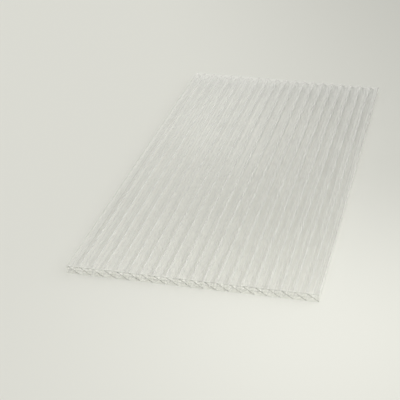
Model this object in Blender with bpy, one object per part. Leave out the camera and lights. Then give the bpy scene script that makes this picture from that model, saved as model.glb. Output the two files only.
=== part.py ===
"""Clear multiwall polycarbonate sheet, a piece of extruded glazing stock, as one solid.

It has two outer skins, a thin wall at mid height and upright ribs. In each cell between two ribs
a pair of diagonals runs from skin to skin and crosses at the middle. The channels between these
walls run the whole length and are open at both ends; a rib closes each long edge.

Metres, +Z up. The origin is under the middle of the sheet, +X runs across the ribs and +Y along
them, and the sheet lies on its underside.
"""

import bmesh
import bpy
from mathutils import Vector

# The sheet: its width is a whole number of cells, from rib to rib.
SHEET_LENGTH = 1.120
SHEET_THICKNESS = 0.016
CELL_PITCH = 0.025
CELL_COUNT = 20

# The walls of its section
SKIN_WALL = 0.00065
RIB_WALL = 0.00045
MIDDLE_WALL = 0.00015
DIAGONAL_WALL = 0.00015

# Clear polycarbonate, which looks pale grey through its many walls
SHEET_COLOUR = (0.69, 0.70, 0.66, 1.0)
SHEET_ROUGHNESS = 0.2
SHEET_METALLIC = 0.0
SHEET_ALPHA = 0.6
POLYCARBONATE_IOR = 1.585

SHEET_WIDTH = CELL_PITCH * CELL_COUNT


def clear_scene():
    for old in list(bpy.data.objects):
        bpy.data.objects.remove(old)


def polycarbonate():
    material = bpy.data.materials.new("clear_polycarbonate")
    material.use_nodes = True
    shader = material.node_tree.nodes["Principled BSDF"]
    shader.inputs["Base Color"].default_value = SHEET_COLOUR
    shader.inputs["Roughness"].default_value = SHEET_ROUGHNESS
    shader.inputs["Metallic"].default_value = SHEET_METALLIC
    shader.inputs["Alpha"].default_value = SHEET_ALPHA
    shader.inputs["IOR"].default_value = POLYCARBONATE_IOR
    return material


def rib_centre(index):
    """Where a rib stands across the sheet. The two edge ribs lie wholly inside the width."""
    edge = (SHEET_WIDTH - RIB_WALL) / 2
    return max(-edge, min(edge, index * CELL_PITCH - SHEET_WIDTH / 2))


def hollow_inside(corners, walls):
    """Corners of the hollow inside a triangle of wall centre lines.

    walls[i] is the thickness of the wall that runs from corners[i] to the next corner.
    """
    hollow = []
    for i, corner in enumerate(corners):
        ahead = (corners[(i + 1) % 3] - corner).normalized()
        back = (corners[i - 1] - corner).normalized()
        sine = abs(ahead.cross(back))
        hollow.append(corner + (ahead * walls[i - 1] + back * walls[i]) / (2 * sine))
    return hollow


def cell_channels(left, right):
    """The six hollows of the cell between two ribs: one on each skin, and four along the ribs."""
    middle = SHEET_THICKNESS / 2
    crossing = Vector(((left + right) / 2, middle))
    channels = []
    for skin in (SKIN_WALL / 2, SHEET_THICKNESS - SKIN_WALL / 2):
        on_skin = [Vector((left, skin)), Vector((right, skin)), crossing]
        channels.append(hollow_inside(on_skin, [SKIN_WALL, DIAGONAL_WALL, DIAGONAL_WALL]))
        for rib in (left, right):
            on_rib = [Vector((rib, skin)), crossing, Vector((rib, middle))]
            channels.append(hollow_inside(on_rib, [DIAGONAL_WALL, MIDDLE_WALL, RIB_WALL]))
    return channels


def add_ring(section, points):
    """A closed ring of edges at the near end, through points given across the sheet and up."""
    ring = [section.verts.new((across, -SHEET_LENGTH / 2, up)) for across, up in points]
    for i, corner in enumerate(ring):
        section.edges.new((ring[i - 1], corner))


def sheet_mesh():
    """The section with its channels left out, filled and extruded along the sheet."""
    side = SHEET_WIDTH / 2
    solid = bmesh.new()
    add_ring(solid, [(-side, 0), (side, 0), (side, SHEET_THICKNESS), (-side, SHEET_THICKNESS)])
    for cell in range(CELL_COUNT):
        for channel in cell_channels(rib_centre(cell), rib_centre(cell + 1)):
            add_ring(solid, channel)
    bmesh.ops.triangle_fill(solid, use_beauty=True, edges=solid.edges[:])
    extruded = bmesh.ops.extrude_face_region(solid, geom=solid.faces[:])
    far_end = [item for item in extruded["geom"] if isinstance(item, bmesh.types.BMVert)]
    bmesh.ops.translate(solid, verts=far_end, vec=(0, SHEET_LENGTH, 0))
    bmesh.ops.recalc_face_normals(solid, faces=solid.faces[:])
    mesh = bpy.data.meshes.new("polycarbonate_sheet")
    solid.to_mesh(mesh)
    solid.free()
    return mesh


def build():
    clear_scene()
    sheet = bpy.data.objects.new("polycarbonate_sheet", sheet_mesh())
    sheet.data.materials.append(polycarbonate())
    bpy.context.collection.objects.link(sheet)


build()
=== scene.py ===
"""Looks of a clear multiwall polycarbonate sheet that lies on a pale studio floor.

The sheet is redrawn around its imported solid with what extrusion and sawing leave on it: filleted
joints, bowed inner walls, skins that sink a little between the ribs, and a sawn near end. Its
material is real clear plastic that bends and mirrors light, so its many walls show as pale stripes.

Metres, +Z up. +X runs across the ribs and +Y along them.
"""

import math
from collections import namedtuple
from random import Random

import bmesh
import bpy
from mathutils import Matrix, Vector


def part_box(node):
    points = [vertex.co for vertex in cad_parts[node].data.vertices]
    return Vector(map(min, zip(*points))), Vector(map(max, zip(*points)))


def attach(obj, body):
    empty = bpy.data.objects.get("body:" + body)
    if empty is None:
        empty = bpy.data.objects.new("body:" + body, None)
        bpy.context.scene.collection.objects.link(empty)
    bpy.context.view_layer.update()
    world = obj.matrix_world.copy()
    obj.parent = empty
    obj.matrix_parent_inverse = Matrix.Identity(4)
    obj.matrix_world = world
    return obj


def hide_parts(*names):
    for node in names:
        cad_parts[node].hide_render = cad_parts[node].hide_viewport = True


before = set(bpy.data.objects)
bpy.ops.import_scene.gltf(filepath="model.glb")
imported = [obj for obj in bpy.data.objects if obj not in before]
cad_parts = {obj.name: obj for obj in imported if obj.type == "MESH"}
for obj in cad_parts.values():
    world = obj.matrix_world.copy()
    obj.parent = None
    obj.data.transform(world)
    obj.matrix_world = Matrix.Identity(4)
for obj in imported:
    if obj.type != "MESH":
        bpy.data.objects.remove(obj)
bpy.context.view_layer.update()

SHEET = "polycarbonate_sheet"

# The section's walls, as in the solid
CELL_PITCH = 0.025
SKIN_WALL = 0.00065
RIB_WALL = 0.00045
MIDDLE_WALL = 0.00015
DIAGONAL_WALL = 0.00015

# What extrusion does to it: fillets in the channels' corners and at the long edges, bows in the
# inner walls, and skins that sink a little between the ribs
SKIN_FILLET = 0.0004
RIB_FILLET = 0.0005
MIDDLE_FILLET = 0.0003
CROSSING_FILLET = 0.0003
CROSSING_HOLLOW_FILLET = 0.0010
EDGE_RADIUS = 0.0004
DIAGONAL_BOW = 0.0005
MIDDLE_SAG = 0.00015
SKIN_SINK = 0.00005

# How finely its curves are drawn
WALL_STEP = 0.0025
FILLET_STEPS = 4
EDGE_STEPS = 4

# What the saw leaves at the near end: ragged lips of torn plastic below the top skin and on top of
# the middle walls and the falling diagonals. Each lip fades out over the taper at its ends and at
# its middle. Their dark grey is painted shade, for the dark lines of shade at the walls' cut ends.
TOP_SKIN_BURR = 0.0006
MIDDLE_BURR = 0.0004
DIAGONAL_BURR = 0.0013
BURR_SETBACK = 0.00002
BURR_THICKNESS = 0.0001
BURR_TAPER = 0.0018
BURR_RAGGEDNESS = 0.35
BURR_STEP = 0.0006
BURR_SEED = 5

# How high a narrow matt strip of painted shade, in the sawn grey, runs along the left side, and how
# near that side its faces lie
SIDE_SHADE_HEIGHT = 0.0118
SIDE_TOLERANCE = 0.00004

# The sheet's materials, in the order of its slots
CLEAR = 0
SAWN_AND_SHADE = 1
TORN_AND_SHADE = 2

# The clear plastic. Here and below, the waves of a noise are counted a metre, along X, Y and Z, and
# a range of the noise turns into a range of roughness or of grey.
REFRACTIVE_INDEX = 1.585
CLEAR_COLOUR = (1.0, 1.0, 0.997, 1.0)
RIPPLE_WAVES = (25, 8, 25)
RIPPLE_DEPTH = 0.00001
DIE_LINE_WAVES = (350, 1.5, 350)
DIE_LINE_DEPTH = 0.0000025
HAZE_WAVES = (45, 5, 45)
HAZE_NOISE = (0.35, 0.65)
HAZE_ROUGHNESS = (0.02, 0.05)

# The same plastic where it is sawn or torn. The saw's marks stand upright, and the grid of their
# noise is turned off the walls' directions. The torn lips' dark grey is painted shade, and the sawn
# grey also paints a strip of shade along the left side.
SAWN_TINT = (1.0, 1.0, 0.965)
SAWN_AND_SHADE_LEVELS = (0.72, 0.90)
TORN_PAINTED_SHADE_LEVELS = (0.24, 0.38)
SAWN_NOISE = (0.3, 0.7)
SAWN_ROUGHNESS = (0.35, 0.6)
SAW_MARK_WAVES = (900, 60, 70)
SAW_MARK_DEPTH = 0.00004
SAW_MARK_TURN = math.radians(20)
GRAIN_WAVES = (5000, 5000, 5000)
GRAIN_DEPTH = 0.00002

# The camera, at the photograph's viewing angle
CAMERA_PLACE = (0.48925, -2.59725, 1.21075)
CAMERA_AZIMUTH = math.radians(13.0)
CAMERA_ELEVATION = math.radians(26.03)
SENSOR_WIDTH = 36.0
LENS = 112.56

# The floor, with a painted pool of light around one point and painted shade along one direction
FLOOR_REACH = 30.0
FLOOR_GAP = 0.0003
FLOOR_ROUGHNESS = 0.9
FLOOR_TINT = (1.0, 1.0, 0.965)
FLOOR_LEVEL = 0.695
PAINTED_LIGHT = 0.143
PAINTED_LIGHT_CENTRE = (0.36, -0.63, 0.0)
PAINTED_LIGHT_RADIUS = 0.78
PAINTED_SHADE = 0.162
PAINTED_SHADE_DIRECTION = (0.935, 0.356, 0.0)
PAINTED_SHADE_START = -0.15
PAINTED_SHADE_END = 0.98

# How often light may bounce
LIGHT_BOUNCES = 400
DIFFUSE_BOUNCES = 6

# The light from all round: its level low behind the sheet, on the left and on the right, then low
# on the camera's side, and then overhead. Each change of level runs over a range of the light's
# direction, along X, Y and Z in turn.
LIGHT_COLOUR = (1.0, 1.0, 0.95, 1.0)
LEFT_LEVEL = 0.45
RIGHT_LEVEL = 1.1
LEFT_TO_RIGHT = (-0.25, 0.20)
FRONT_LEVEL = 0.80
FRONT_TO_BACK = (-0.2, 0.5)
OVERHEAD_LEVEL = 1.12
LOW_TO_OVERHEAD = (0.52, 0.80)

# Soft round lamps in it, each fading out over a share of its radius: a large one on the right that
# lights the far right stripes, a small one behind the sheet that draws thin bright lines along its
# middle, a faint one that lifts its left, and low between them a dark panel of negative strength.
# Angles are in degrees, azimuths from +Y towards +X.
SoftLamp = namedtuple("SoftLamp", "azimuth elevation radius strength")
RIGHT_LAMP = SoftLamp(azimuth=42, elevation=22, radius=20, strength=2.0)
SMALL_LAMP = SoftLamp(azimuth=19, elevation=17, radius=3, strength=1.5)
LEFT_LAMP = SoftLamp(azimuth=-15, elevation=18, radius=10, strength=0.35)
DARK_PANEL = SoftLamp(azimuth=15, elevation=11, radius=17, strength=-1.1)
LAMP_FADE = 0.6

low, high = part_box(SHEET)
WIDTH = high.x - low.x
LENGTH = high.y - low.y
THICKNESS = high.z - low.z
CELL_COUNT = round(WIDTH / CELL_PITCH)


def rib_centre(index):
    """Where a rib stands across the sheet. The two edge ribs lie wholly inside the width."""
    edge = (WIDTH - RIB_WALL) / 2
    return max(-edge, min(edge, index * CELL_PITCH - WIDTH / 2))


def hollow_inside(corners, walls):
    """Corners of the hollow inside a triangle of wall centre lines.

    walls[i] is the thickness of the wall that runs from corners[i] to the next corner.
    """
    hollow = []
    for i, corner in enumerate(corners):
        ahead = (corners[(i + 1) % len(corners)] - corner).normalized()
        back = (corners[i - 1] - corner).normalized()
        sine = abs(ahead.cross(back))
        hollow.append(corner + (ahead * walls[i - 1] + back * walls[i]) / (2 * sine))
    return hollow


def arc(corner, before, after, radius, steps):
    """Points of the arc that rounds a corner between its neighbours before and after."""
    back = (before - corner).normalized()
    ahead = (after - corner).normalized()
    half = back.angle(ahead) / 2
    centre = corner + (back + ahead).normalized() * (radius / math.sin(half))
    start = corner + back * (radius / math.tan(half)) - centre
    turn = math.copysign(math.pi - 2 * half, back.cross(ahead))
    return [centre + Matrix.Rotation(-turn * i / steps, 2) @ start for i in range(steps + 1)]


def with_steps(points, step):
    """The same closed outline, with its long stretches cut into pieces about a step long."""
    outline = []
    for i, point in enumerate(points):
        stretch = points[(i + 1) % len(points)] - point
        cuts = max(1, round(stretch.length / step))
        outline += [point + stretch * (k / cuts) for k in range(cuts)]
    return outline


def rounded(corners, radii, steps):
    """A closed outline through corners, each rounded by its own radius."""
    points = []
    for i, corner in enumerate(corners):
        points += arc(corner, corners[i - 1], corners[(i + 1) % len(corners)], radii[i], steps)
    return with_steps(points, WALL_STEP)


def bowed(point, left, right):
    """A point of a channel's outline, moved as the thin walls around it bow.

    The diagonals leave their joints a little flatter than straight ones and cross more steeply,
    the middle wall sags, and all of them stay put at the ribs, the skins and the crossing.
    """
    across = (point.x - left) / (right - left)
    up = (point.y - THICKNESS / 2) / (THICKNESS / 2 - SKIN_WALL)
    between = math.sin(2 * math.pi * across) ** 2
    rise = DIAGONAL_BOW * between * math.sin(math.pi * up)
    rise -= MIDDLE_SAG * between * (1 - up * up)
    return Vector((point.x, point.y + rise))


def cell_channels(left, right):
    """Outlines of the six channels of a cell: one on each skin, and four along the ribs."""
    middle = THICKNESS / 2
    crossing = Vector(((left + right) / 2, middle))
    channels = []
    for skin in (SKIN_WALL / 2, THICKNESS - SKIN_WALL / 2):
        on_skin = [Vector((left, skin)), Vector((right, skin)), crossing]
        hollow = hollow_inside(on_skin, [SKIN_WALL, DIAGONAL_WALL, DIAGONAL_WALL])
        fillets = [SKIN_FILLET, SKIN_FILLET, CROSSING_HOLLOW_FILLET]
        channels.append(rounded(hollow, fillets, FILLET_STEPS))
        for rib in (left, right):
            on_rib = [Vector((rib, skin)), crossing, Vector((rib, middle))]
            hollow = hollow_inside(on_rib, [DIAGONAL_WALL, MIDDLE_WALL, RIB_WALL])
            fillets = [RIB_FILLET, CROSSING_FILLET, MIDDLE_FILLET]
            channels.append(rounded(hollow, fillets, FILLET_STEPS))
    return [[bowed(point, left, right) for point in channel] for channel in channels]


def sunk(point):
    """A point of the sheet's outline, drawn in as the skins sink between the ribs."""
    across = (point.x + WIDTH / 2) / CELL_PITCH
    sink = SKIN_SINK * math.sin(math.pi * across) ** 2
    if abs(point.x) > WIDTH / 2 - EDGE_RADIUS:
        sink = 0
    return Vector((point.x, point.y + math.copysign(sink, THICKNESS / 2 - point.y)))


def sheet_outline():
    """The outer outline of the whole section."""
    side = WIDTH / 2
    corners = [Vector(c) for c in ((-side, 0), (side, 0), (side, THICKNESS), (-side, THICKNESS))]
    return [sunk(point) for point in rounded(corners, [EDGE_RADIUS] * len(corners), EDGE_STEPS)]


def add_ring(section, points):
    """A closed ring of edges at the near end, through points given across the sheet and up."""
    ring = [section.verts.new((across, low.y, up)) for across, up in points]
    for i, corner in enumerate(ring):
        section.edges.new((ring[i - 1], corner))


def lip(start, end, wall, burr, random):
    """Pairs of points along a wall: on its middle plane, and on the torn rim to the right of it.

    The rim comes down to the wall at both ends and half-way along.
    """
    run = end - start
    aside = Vector((run.y, -run.x)).normalized()
    steps = round(run.length / BURR_STEP)
    pairs = []
    for i in range(steps + 1):
        share = i / steps
        from_low_point = run.length * min(share, abs(share - 0.5), 1 - share)
        reach = burr * min(1, from_low_point / BURR_TAPER)
        reach *= 1 - BURR_RAGGEDNESS * random.random()
        on_wall = start + run * share
        pairs.append((on_wall, on_wall + aside * (wall / 2 + reach)))
    return pairs


def cell_lips(left, right, random):
    """The saw's torn lips in one cell. Each wall runs so that its lip lies to the right of it."""
    top = THICKNESS - SKIN_WALL / 2
    middle = THICKNESS / 2
    foot = SKIN_WALL / 2
    walls = (
        ((left, top), (right, top), SKIN_WALL, TOP_SKIN_BURR),
        ((right, middle), (left, middle), MIDDLE_WALL, MIDDLE_BURR),
        ((right, foot), (left, top), DIAGONAL_WALL, DIAGONAL_BURR),
    )
    for start, end, wall, burr in walls:
        pairs = lip(Vector(start), Vector(end), wall, burr, random)
        yield [[bowed(point, left, right) for point in pair] for pair in pairs]


def add_burr(solid, pairs):
    """A closed thin strip at the near end, through pairs of points across the sheet and up."""
    front = low.y + BURR_SETBACK
    back = front + BURR_THICKNESS
    rows = []
    for on_wall, rim in pairs:
        corners = ((on_wall, front), (rim, front), (rim, back), (on_wall, back))
        rows.append([solid.verts.new((point.x, depth, point.y)) for point, depth in corners])
    faces = [solid.faces.new(rows[0]), solid.faces.new(rows[-1])]
    for row, following in zip(rows, rows[1:]):
        for i in range(len(row)):
            faces.append(solid.faces.new((row[i - 1], row[i], following[i], following[i - 1])))
    bmesh.ops.recalc_face_normals(solid, faces=faces)
    # The lips' dark torn grey is painted shade
    for face in faces:
        face.material_index = TORN_AND_SHADE


def sheet_mesh():
    """The section with its channels left out, filled and extruded along the sheet, and the lips."""
    solid = bmesh.new()
    add_ring(solid, sheet_outline())
    for cell in range(CELL_COUNT):
        for channel in cell_channels(rib_centre(cell), rib_centre(cell + 1)):
            add_ring(solid, channel)
    bmesh.ops.triangle_fill(solid, use_beauty=True, edges=solid.edges[:])
    extruded = bmesh.ops.extrude_face_region(solid, geom=solid.faces[:])
    far_end = [item for item in extruded["geom"] if isinstance(item, bmesh.types.BMVert)]
    bmesh.ops.translate(solid, verts=far_end, vec=(0, LENGTH, 0))
    bmesh.ops.recalc_face_normals(solid, faces=solid.faces[:])
    for face in solid.faces:
        near_end = round(face.normal.y) == -1
        centre = face.calc_center_median()
        left_side = centre.x < SIDE_TOLERANCE - WIDTH / 2
        # A strip along the left side takes the sawn grey as painted shade, a dark line along that
        # edge
        side_shade_strip = left_side and abs(centre.z - SIDE_SHADE_HEIGHT) < WALL_STEP / 2
        face.material_index = SAWN_AND_SHADE if near_end or side_shade_strip else CLEAR
    random = Random(BURR_SEED)
    for cell in range(CELL_COUNT):
        for pairs in cell_lips(rib_centre(cell), rib_centre(cell + 1), random):
            add_burr(solid, pairs)
    mesh = bpy.data.meshes.new("multiwall_sheet")
    solid.to_mesh(mesh)
    solid.free()
    return mesh


def new_material(name, **sockets):
    """A material, its tree and its shader, with sockets set by name, _ standing for a space."""
    material = bpy.data.materials.new(name)
    material.use_nodes = True
    shader = material.node_tree.nodes["Principled BSDF"]
    for socket, value in sockets.items():
        shader.inputs[socket.replace("_", " ")].default_value = value
    return material, material.node_tree, shader


def map_range(tree, value, start, end, first, last):
    """A smooth step of a value: first up to start, last from end on."""
    node = tree.nodes.new("ShaderNodeMapRange")
    node.interpolation_type = "SMOOTHSTEP"
    node.inputs["From Min"].default_value = start
    node.inputs["From Max"].default_value = end
    for socket, source in (("To Min", first), ("To Max", last)):
        if isinstance(source, float):
            node.inputs[socket].default_value = source
        else:
            tree.links.new(source, node.inputs[socket])
    tree.links.new(value, node.inputs["Value"])
    return node.outputs["Result"]


def vector_number(tree, operation, vector, other):
    """The distance or the dot product of a vector and a fixed one."""
    node = tree.nodes.new("ShaderNodeVectorMath")
    node.operation = operation
    tree.links.new(vector, node.inputs[0])
    node.inputs[1].default_value = other
    return node.outputs["Value"]


def math_node(tree, operation, *values):
    """A Math node's result. Each value is a number or another node's output."""
    node = tree.nodes.new("ShaderNodeMath")
    node.operation = operation
    for i, value in enumerate(values):
        if isinstance(value, float):
            node.inputs[i].default_value = value
        else:
            tree.links.new(value, node.inputs[i])
    return node.outputs["Value"]


def noise(tree, per_metre, detail, turn=0.0):
    """Smooth noise over the object's own coordinates, with as many waves a metre each way as given.

    A turn about Y, after the scaling, sets its grid off the object's axes.
    """
    place = tree.nodes.new("ShaderNodeTexCoord").outputs["Object"]
    mapping = tree.nodes.new("ShaderNodeMapping")
    mapping.inputs["Rotation"].default_value = (0.0, turn, 0.0)
    mapping.inputs["Scale"].default_value = per_metre
    tree.links.new(place, mapping.inputs["Vector"])
    texture = tree.nodes.new("ShaderNodeTexNoise")
    texture.inputs["Scale"].default_value = 1.0
    texture.inputs["Detail"].default_value = detail
    tree.links.new(mapping.outputs["Vector"], texture.inputs["Vector"])
    return texture.outputs["Fac"]


def bump(tree, height, depth, under=None):
    """A normal that follows a height of 0 to 1 over a depth in metres, on top of another bump."""
    node = tree.nodes.new("ShaderNodeBump")
    node.inputs["Distance"].default_value = depth
    tree.links.new(height, node.inputs["Height"])
    if under:
        tree.links.new(under, node.inputs["Normal"])
    return node.outputs["Normal"]


def tinted(tree, tint, level):
    """A colour: a tint scaled by a level from the nodes."""
    node = tree.nodes.new("ShaderNodeVectorMath")
    node.operation = "SCALE"
    node.inputs["Vector"].default_value = tint
    tree.links.new(level, node.inputs["Scale"])
    return node.outputs["Vector"]


def clear_plastic():
    """Clear as extruded: a slow ripple, fine lines from the die along the sheet, a faint haze."""
    material, tree, shader = new_material(
        "clear_polycarbonate",
        Base_Color=CLEAR_COLOUR,
        IOR=REFRACTIVE_INDEX,
        Transmission_Weight=1.0,
    )
    ripple = bump(tree, noise(tree, RIPPLE_WAVES, detail=0.0), RIPPLE_DEPTH)
    die_lines = bump(tree, noise(tree, DIE_LINE_WAVES, detail=1.0), DIE_LINE_DEPTH, ripple)
    haze = map_range(tree, noise(tree, HAZE_WAVES, detail=2.0), *HAZE_NOISE, *HAZE_ROUGHNESS)
    tree.links.new(die_lines, shader.inputs["Normal"])
    tree.links.new(haze, shader.inputs["Roughness"])
    return material


def matt_grey_plastic(name, levels):
    """Matt and between two levels of grey, with the saw's upright marks and a torn grain. On the
    strip along the left side and on the torn lips, the grey is painted shade.
    """
    material, tree, shader = new_material(name, IOR=REFRACTIVE_INDEX)
    marks = noise(tree, SAW_MARK_WAVES, detail=2.0, turn=SAW_MARK_TURN)
    grain = noise(tree, GRAIN_WAVES, detail=2.0)
    level = map_range(tree, marks, *SAWN_NOISE, *levels)
    roughness = map_range(tree, grain, *SAWN_NOISE, *SAWN_ROUGHNESS)
    tree.links.new(tinted(tree, SAWN_TINT, level), shader.inputs["Base Color"])
    tree.links.new(roughness, shader.inputs["Roughness"])
    relief = bump(tree, grain, GRAIN_DEPTH, bump(tree, marks, SAW_MARK_DEPTH))
    tree.links.new(relief, shader.inputs["Normal"])
    return material


def pale_floor():
    """Matt and pale, with light and shade painted into its colour: a painted pool of light in front
    of the sheet's near right corner, and painted shade to the far right.
    """
    material, tree, shader = new_material(
        "pale_floor",
        Roughness=FLOOR_ROUGHNESS,
        Specular_IOR_Level=0.0,
    )
    place = tree.nodes.new("ShaderNodeTexCoord").outputs["Object"]
    # Painted light and shade: a pool of light around one point, darker towards the far right
    distance_from_painted_light = vector_number(tree, "DISTANCE", place, PAINTED_LIGHT_CENTRE)
    painted_light = map_range(tree, distance_from_painted_light, 0.0, PAINTED_LIGHT_RADIUS, FLOOR_LEVEL + PAINTED_LIGHT, FLOOR_LEVEL)
    far_right = vector_number(tree, "DOT_PRODUCT", place, PAINTED_SHADE_DIRECTION)
    painted_shade = map_range(tree, far_right, PAINTED_SHADE_START, PAINTED_SHADE_END, 0.0, PAINTED_SHADE)
    level = math_node(tree, "SUBTRACT", painted_light, painted_shade)
    tree.links.new(tinted(tree, FLOOR_TINT, level), shader.inputs["Base Color"])
    return material


def add_sheet():
    """The sheet in its three materials, in place of its solid."""
    sheet = bpy.data.objects.new("multiwall_sheet", sheet_mesh())
    bpy.context.scene.collection.objects.link(sheet)
    sheet.data.materials.append(clear_plastic())
    sheet.data.materials.append(matt_grey_plastic("sawn_polycarbonate_and_painted_shade", SAWN_AND_SHADE_LEVELS))
    sheet.data.materials.append(matt_grey_plastic("torn_polycarbonate_painted_shade", TORN_PAINTED_SHADE_LEVELS))
    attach(sheet, "root")
    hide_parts(SHEET)


def add_floor():
    """A square floor just under the sheet, far larger than the view."""
    corners = [(-1, -1), (1, -1), (1, 1), (-1, 1)]
    mesh = bpy.data.meshes.new("studio_floor")
    mesh.from_pydata([(x * FLOOR_REACH, y * FLOOR_REACH, 0) for x, y in corners], [], [(0, 1, 2, 3)])
    floor = bpy.data.objects.new("studio_floor", mesh)
    floor.location.z = low.z - FLOOR_GAP
    bpy.context.scene.collection.objects.link(floor)
    mesh.materials.append(pale_floor())


def chord(degrees):
    """How far apart two directions of unit length are that differ by an angle."""
    return 2 * math.sin(math.radians(degrees) / 2)


def soft_lamp(tree, direction, lamp):
    """The light of one round lamp: full at its middle, fading out towards its rim."""
    azimuth = math.radians(lamp.azimuth)
    elevation = math.radians(lamp.elevation)
    flat = math.cos(elevation)
    middle = (math.sin(azimuth) * flat, math.cos(azimuth) * flat, math.sin(elevation))
    away = vector_number(tree, "DISTANCE", direction, middle)
    fade_start = chord(lamp.radius * (1 - LAMP_FADE))
    return map_range(tree, away, fade_start, chord(lamp.radius), lamp.strength, 0.0)


def add_world():
    """The light from all round and the soft lamps in it."""
    world = bpy.data.worlds.new("studio")
    bpy.context.scene.world = world
    world.use_nodes = True
    tree = world.node_tree
    background = tree.nodes["Background"]
    direction = tree.nodes.new("ShaderNodeTexCoord").outputs["Generated"]
    split = tree.nodes.new("ShaderNodeSeparateXYZ")
    tree.links.new(direction, split.inputs["Vector"])
    back_level = map_range(tree, split.outputs["X"], *LEFT_TO_RIGHT, LEFT_LEVEL, RIGHT_LEVEL)
    low_level = map_range(tree, split.outputs["Y"], *FRONT_TO_BACK, FRONT_LEVEL, back_level)
    strength = map_range(tree, split.outputs["Z"], *LOW_TO_OVERHEAD, low_level, OVERHEAD_LEVEL)
    for lamp in (RIGHT_LAMP, SMALL_LAMP, LEFT_LAMP, DARK_PANEL):
        strength = math_node(tree, "ADD", strength, soft_lamp(tree, direction, lamp))
    strength = math_node(tree, "MAXIMUM", strength, 0.0)
    background.inputs["Color"].default_value = LIGHT_COLOUR
    tree.links.new(strength, background.inputs["Strength"])


def add_camera():
    """The camera, looking down on the sheet from its near right."""
    camera = bpy.data.objects.new("camera", bpy.data.cameras.new("camera"))
    bpy.context.scene.collection.objects.link(camera)
    camera.location = CAMERA_PLACE
    camera.rotation_euler = (math.pi / 2 - CAMERA_ELEVATION, 0, CAMERA_AZIMUTH)
    camera.data.sensor_width = SENSOR_WIDTH
    camera.data.lens = LENS
    bpy.context.scene.camera = camera


def set_rendering():
    """Plain colours, and light that crosses all the clear walls, unblurred, with many bounces."""
    scene = bpy.context.scene
    scene.view_settings.view_transform = "Standard"
    scene.cycles.blur_glossy = 0.0
    scene.cycles.max_bounces = LIGHT_BOUNCES
    scene.cycles.transmission_bounces = LIGHT_BOUNCES
    scene.cycles.glossy_bounces = LIGHT_BOUNCES
    scene.cycles.diffuse_bounces = DIFFUSE_BOUNCES


add_camera()
set_rendering()
add_world()
add_floor()
add_sheet()

bpy.context.view_layer.update()
